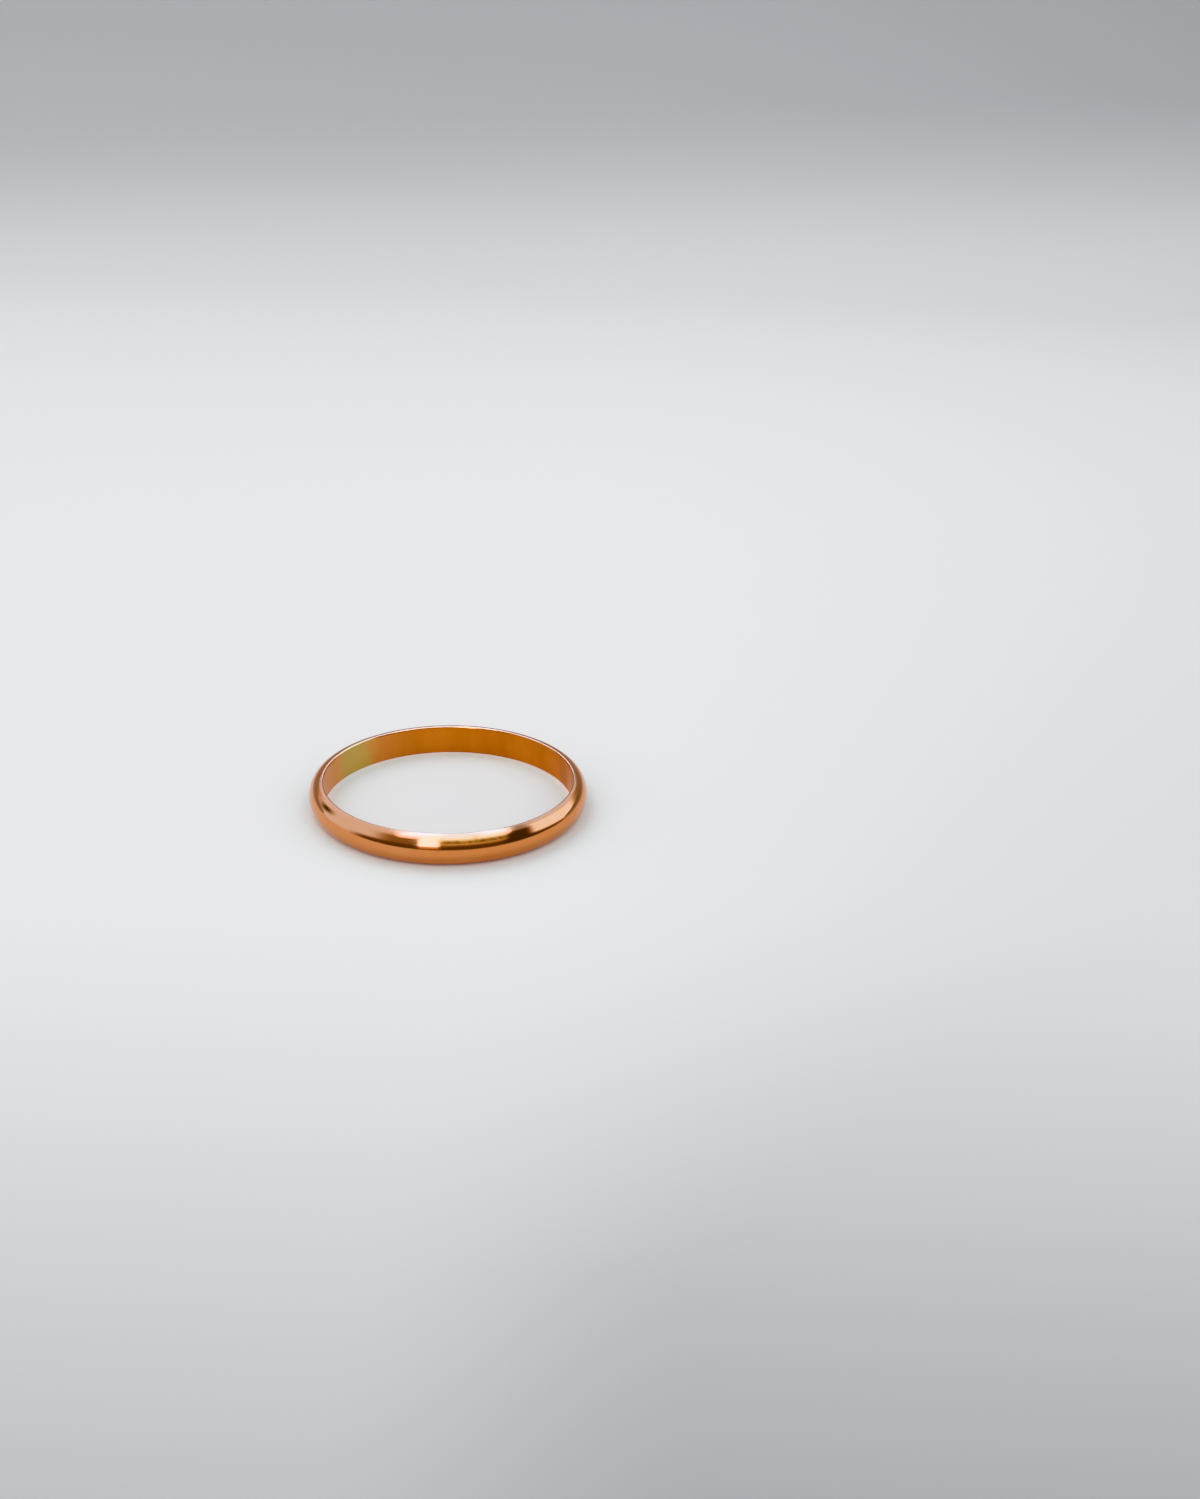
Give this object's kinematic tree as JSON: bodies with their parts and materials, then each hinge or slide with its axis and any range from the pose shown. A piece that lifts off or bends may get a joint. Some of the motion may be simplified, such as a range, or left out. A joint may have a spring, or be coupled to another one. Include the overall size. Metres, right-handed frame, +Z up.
{
  "type": "stackable ring",
  "caption": "Plain half-round stacking ring in polished rose gold: a closed band worn on a finger, lying on its side.",
  "frame": {"origin": "on the ring's axis, at the level of the surface that the ring lies on", "axes": "+Z up along the ring's axis, through the finger hole. The band is round, so +X and +Y are any two square directions along the surface. -Y faces the picture's camera, and the solder seam is at the left of +Y seen from there"},
  "size_m": [0.0184, 0.0184, 0.002],
  "materials": {
    "rose_gold": "mirror-polished rose gold with fine wear, and a yellow-green solder seam across the band"
  },
  "bodies": {
    "root": {"ring_band": "rose_gold"}
  },
  "joints": []
}
